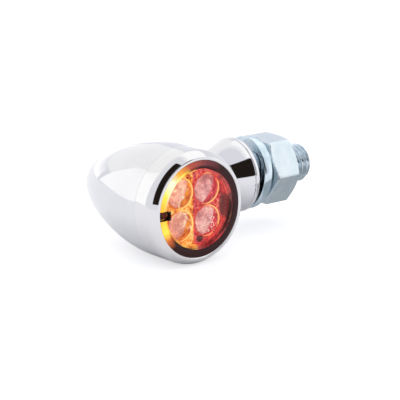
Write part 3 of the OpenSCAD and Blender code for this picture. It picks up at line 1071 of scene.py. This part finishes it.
def build_nut(material):
    """A hexagon nut, chamfered at both faces and countersunk at both ends of its bore."""
    mesh = bmesh.new()
    face_r = 0.475 * NUT_AF
    corner_r = NUT_AF / math.sqrt(3)
    worn_edge = 0.12
    worn_slope = 0.35
    chamfer_slope = math.tan(math.radians(30))
    chamfer_steps = 14
    chamfer_h = 0.9
    bore_r = STUD_R + 0.05
    countersink = 0.45

    def hexagon_radius(angle):
        turned = (angle - NUT_CLOCKING) % (math.pi / 3) - math.pi / 6
        flat = NUT_AF / 2 / math.cos(turned)
        limit = corner_r - worn_edge
        return min(flat, limit + worn_slope * max(0.0, flat - limit))

    rows = []
    levels = [chamfer_h * step / chamfer_steps for step in range(chamfer_steps + 1)]
    levels += [NUT_H / 2] + [NUT_H - level for level in reversed(levels)]
    for level in levels:
        cone_r = face_r + min(level, NUT_H - level) / chamfer_slope

        def radius_at(angle):
            return min(hexagon_radius(angle), cone_r)

        rows.append(loop_of(mesh, ON_STUD, SEGMENTS, radius_at, NUT_FRONT + level))
    bore = [
        (bore_r + countersink, NUT_H),
        (bore_r, NUT_H - countersink),
        (bore_r, countersink),
        (bore_r + countersink, 0),
    ]
    for radius, level in bore:
        rows.append(loop_of(mesh, ON_STUD, SEGMENTS, lambda angle: radius, NUT_FRONT + level))
    join_all(mesh, rows, closed=True)
    make_piece("hexagon_nut", mesh, material, body="nut", stands_for=("hex_nut",))


# ---- Inner CAD pieces ----


def carrier_look():
    """Black plastic, with red-brown light in the tip of the key that stands in the lens."""
    look = Material("carrier_plastic", Specular_IOR_Level=0.2)
    depth = look.maths("SUBTRACT", look.axis(1), FRONT_Y * MM)
    black = look.ramp(look.noise(650), (0.35, srgb(18, 14, 14)), (0.65, srgb(34, 26, 26)))
    lit = look.ramp(look.noise(900), (0.35, srgb(70, 22, 16)), (0.65, srgb(112, 44, 30)))
    look.colour(look.blend(look.past(depth, KEY_FRONT + 0.25, 0.15), lit, black))
    look.rough(look.spread(look.noise(1300), 0.3, 0.5))
    return look.bump(look.noise(2600, detail=3.0), 0.01, 0.4).material


def paint(node, material):
    """Gives a CAD piece that shows as it is, or lies inside, its own material."""
    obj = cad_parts[node]
    obj.data.materials.clear()
    obj.data.materials.append(material)


# ---- Stage ----


def emission(name, colour, strength, fade=None):
    """A glowing card's material. A fade (axis, from, to), in metres, lets it thin out to nothing."""
    look = Material(name)
    light = look.node("ShaderNodeEmission", Color=(*colour, 1.0), Strength=strength)
    shown = light.outputs["Emission"]
    if fade:
        axis, start, end = fade
        clear = look.node("ShaderNodeBsdfTransparent")
        shown = look.mix_shaders(look.step(look.axis(axis), start, end), shown, clear.outputs["BSDF"])
    look.surface(shown)
    look.tree.nodes.remove(look.shader)
    return look.material


def direction(azimuth, elevation):
    """Unit vector: azimuth 0 looks towards -Y, 90 towards +X."""
    a, e = math.radians(azimuth), math.radians(elevation)
    return Vector((math.cos(e) * math.sin(a), -math.cos(e) * math.cos(a), math.sin(e)))


def seen_at(corners, distance):
    """Points of a card whose corners lie in (azimuth, elevation) directions from the object."""
    return [direction(*corner) * distance for corner in corners]


def patch(azimuths, elevations):
    """Corner directions of a card between two azimuths and two elevations."""
    (left, right), (low, high) = azimuths, elevations
    return [(left, low), (right, low), (right, high), (left, high)]


def flat_piece(name, points, material):
    """A single flat face of the stage."""
    mesh = bmesh.new()
    mesh.faces.new([mesh.verts.new(point) for point in points])
    obj = object_from(name, mesh)
    obj.data.materials.append(material)
    return obj


def card(name, points, material, black=False):
    """A card that shows only in reflections and, unless it is black, as light."""
    obj = flat_piece(name, points, material)
    obj.visible_camera = False
    obj.visible_shadow = False
    if black:
        obj.visible_diffuse = False
        obj.visible_transmission = False


def floor_points(height):
    """A round floor three metres across its radius, at a height in metres."""
    radius = 3.0
    steps = 96
    return [around(2 * math.pi * i / steps, radius, height) for i in range(steps)]


def pale(name, low, high, glow):
    """The floor's material: a near-white that varies a little from place to place."""
    look = Material(name, Roughness=0.9, Specular_IOR_Level=0.0)
    greys = [(level, level, level + 0.005, 1.0) for level in (low, high)]
    shade = look.ramp(look.noise(12), (0.3, greys[0]), (0.7, greys[1]))
    look.glowing(shade, glow)
    return look.material


def build_floor(height):
    """A pale floor, and over it the bright sheet that the camera sees in its place."""
    floor = flat_piece("floor", floor_points(height), pale("floor", 0.9, 0.915, 0.0))
    floor.visible_camera = False

    sheet_points = floor_points(height + 0.01 * MM)
    sheet = flat_piece("floor_sheet", sheet_points, pale("floor_sheet", 0.5, 0.51, 1.2))
    sheet.visible_diffuse = False
    sheet.visible_glossy = False
    sheet.visible_transmission = False
    sheet.visible_shadow = False


def build_softboxes():
    """The bright cards behind, beside and above the object. Distances are in metres."""
    away = 0.9
    white = (1.0, 1.0, 1.0)
    glow = 1.35
    back_light = emission("back_light", white, glow, fade=(2, 0.34, 0.7))
    side_light = emission("side_light", white, glow)
    strip_light = emission("strip_light", white, glow, fade=(2, 0.06, 0.2))
    sheet_light = emission("sheet_light", white, 1.17, fade=(2, 0.6, 1.0))
    top_light = emission("top_light", white, glow, fade=(0, 0.3, 0.12))
    card("back_softbox", seen_at([(-173, 1), (-138, -1), (-138, 54), (-154, 46)], away), back_light)
    card("back_strip", seen_at(patch((150, 184), (0, 14)), away), strip_light)
    card("back_sheet", seen_at(patch((148, 222), (10, 66)), away + 0.2), sheet_light)
    card("right_softbox", seen_at(patch((42, 76), (0, 70)), away), side_light)
    overhead = [Vector((x, y, away)) for x, y in ((0.1, -0.6), (1.0, -0.6), (1.0, 0.9), (0.1, 0.9))]
    card("top_softbox", overhead, top_light)


def build_flags(floor_z):
    """The black cards that put the dark shapes into the chrome, and a grey card on the floor under the
    nut, seen only in reflections, as a painted shadow of the nut on the floor.
    """
    away = 0.7
    black = emission("flag", (0.02, 0.015, 0.012), 1.0)
    grey = emission("floor_shade", (0.5, 0.52, 0.54), 1.0)
    card("front_flag", seen_at(patch((-12, 31), (2, 50)), away), black, black=True)
    card("side_flag", seen_at([(-84, 7), (-56, 7), (0, 80), (-75, 84)], away), black, black=True)
    # Painted shadow: a grey card at floor level under the nut, seen only in reflections.
    low = floor_z + 0.05 * MM
    corners = ((0.007, -0.03), (0.05, -0.03), (0.05, 0.03), (0.007, 0.03))
    card("floor_shadow_card", [Vector((x, y, low)) for x, y in corners], grey, black=True)


def build_sky():
    """Even light from all around, and a broad soft sun that throws the faint shadow."""
    world = bpy.data.worlds.new("studio")
    bpy.context.scene.world = world
    world.use_nodes = True
    sky = world.node_tree.nodes["Background"]
    sky.inputs["Color"].default_value = (0.93, 0.94, 1.0, 1.0)
    sky.inputs["Strength"].default_value = 1.04

    sun = bpy.data.lights.new("key", "SUN")
    sun.energy = 0.4
    sun.angle = math.radians(50)
    lamp = bpy.data.objects.new("key", sun)
    lamp.rotation_euler = direction(-150, 55).to_track_quat("Z", "Y").to_euler()
    lamp.visible_glossy = False
    bpy.context.scene.collection.objects.link(lamp)


def build_camera():
    """The photograph's viewpoint: to the left of the lens and a little above it."""
    azimuth, elevation, roll = -37.95, 14.54, -0.87
    distance = 350.3
    target = Vector((-14.73, -6.79, -1.61))
    camera = bpy.data.cameras.new("camera")
    camera.lens = 161.4
    camera.sensor_width = 36
    camera.clip_start = 0.01
    camera.clip_end = 20
    obj = bpy.data.objects.new("camera", camera)
    back = direction(azimuth, elevation)
    turn = back.to_track_quat("Z", "Y").to_matrix().to_4x4() @ Matrix.Rotation(math.radians(roll), 4, "Z")
    obj.matrix_world = Matrix.Translation((target + distance * back) * MM) @ turn
    bpy.context.scene.collection.objects.link(obj)
    bpy.context.scene.camera = obj


# ---- The scene ----

chrome_body = chrome("chrome_casting", (0.7, 0.7, 0.715, 1.0))
chrome_front = chrome("chrome_ring", (0.73, 0.725, 0.73, 1.0))
build_housing(chrome_body)
build_ring(chrome_front)
build_lens(lens_edge_look(), lens_window_look())

amber_web = optic_look(
    "amber_web", srgb(130, 46, 8), srgb(222, 112, 12), srgb(255, 172, 26), srgb(255, 240, 150), 0.06
)
red_web = optic_look(
    "red_web", srgb(88, 20, 24), srgb(184, 42, 50), srgb(228, 70, 78), srgb(250, 150, 120), 0.03
)
amber_dome = dome_look(
    "amber_dome",
    (srgb(190, 120, 108), srgb(234, 172, 150), srgb(255, 214, 184)),
    (srgb(196, 84, 22), srgb(250, 162, 50)),
    srgb(255, 242, 204),
    0.06,
)
red_dome = dome_look(
    "red_dome",
    (srgb(170, 108, 112), srgb(222, 158, 158), srgb(248, 202, 198)),
    (srgb(170, 38, 56), srgb(230, 76, 92)),
    srgb(255, 228, 212),
    0.035,
)
amber_skirt = skirt_look("amber_skirt", srgb(206, 110, 24), srgb(255, 206, 90))
red_skirt = skirt_look("red_skirt", srgb(140, 30, 38), srgb(226, 80, 76))
amber_rim = rim_look("amber_rim", srgb(255, 226, 130), srgb(206, 110, 30))
red_rim = rim_look("red_rim", srgb(255, 214, 130), srgb(196, 70, 50))
build_optic(-1, "amber", amber_web, amber_dome, amber_rim, amber_skirt, AMBER_ARCS)
build_optic(1, "red", red_web, red_dome, red_rim, red_skirt, RED_ARCS)

nut_zinc = zinc("zinc_nut", srgb(213, 220, 225), srgb(192, 208, 217), 0.13, 0.22)
stud_zinc = zinc("zinc_stud", srgb(222, 230, 235), srgb(192, 205, 214), 0.14, 0.26)
washer_zinc = zinc("zinc_washer", srgb(214, 226, 234), srgb(176, 196, 206), 0.1, 0.18)
build_stud(stud_zinc)
build_washer(washer_zinc)
build_nut(nut_zinc)

black_plastic = carrier_look()
rubber = moulded("seal_rubber", srgb(40, 40, 42), srgb(24, 24, 26), 0.55, 0.8)
resin = moulded("resin_black", srgb(28, 28, 30), srgb(16, 16, 18), 0.2, 0.4, grain=900)
green_board = moulded("board_green", srgb(36, 120, 70), srgb(22, 92, 52), 0.3, 0.45)
white_board = moulded("board_white", srgb(240, 240, 236), srgb(222, 222, 218), 0.35, 0.5)
chip_plastic = moulded("chip_black", srgb(44, 44, 48), srgb(26, 26, 30), 0.4, 0.6)
ceramic = moulded("ceramic_tan", srgb(206, 170, 120), srgb(176, 140, 96), 0.35, 0.5)
led_plastic = moulded("led_body", srgb(250, 244, 214), srgb(232, 220, 170), 0.25, 0.45)
spreader = zinc("spreader_alloy", srgb(220, 222, 226), srgb(190, 192, 198), 0.3, 0.45)
pin_metal = zinc("pin_gold", srgb(236, 196, 110), srgb(206, 160, 76), 0.18, 0.3)

inner_looks = (
    (rubber, "seal_rubber", ("lens_seal", "lead_grommet")),
    (black_plastic, "carrier_plastic", ("optic_carrier",)),
    (led_plastic, "led_body", ("amber_leds", "red_leds")),
    (white_board, "board_white", ("led_board",)),
    (spreader, "spreader_alloy", ("heat_spreader",)),
    (pin_metal, "pin_gold", ("board_pins", "lead_terminals")),
    (green_board, "board_green", ("driver_board",)),
    (chip_plastic, "chip_black", ("driver_chips", "current_resistors", "polarity_diodes")),
    (ceramic, "ceramic_tan", ("smoothing_capacitors",)),
    (resin, "resin_black", ("potting_plug",)),
)
for material, slot, nodes in inner_looks:
    for node in nodes:
        paint(node, material)

build_floor(cad_bounds[0].z)
build_softboxes()
build_flags(cad_bounds[0].z)
build_sky()
build_camera()
bpy.context.scene.view_settings.view_transform = "Standard"
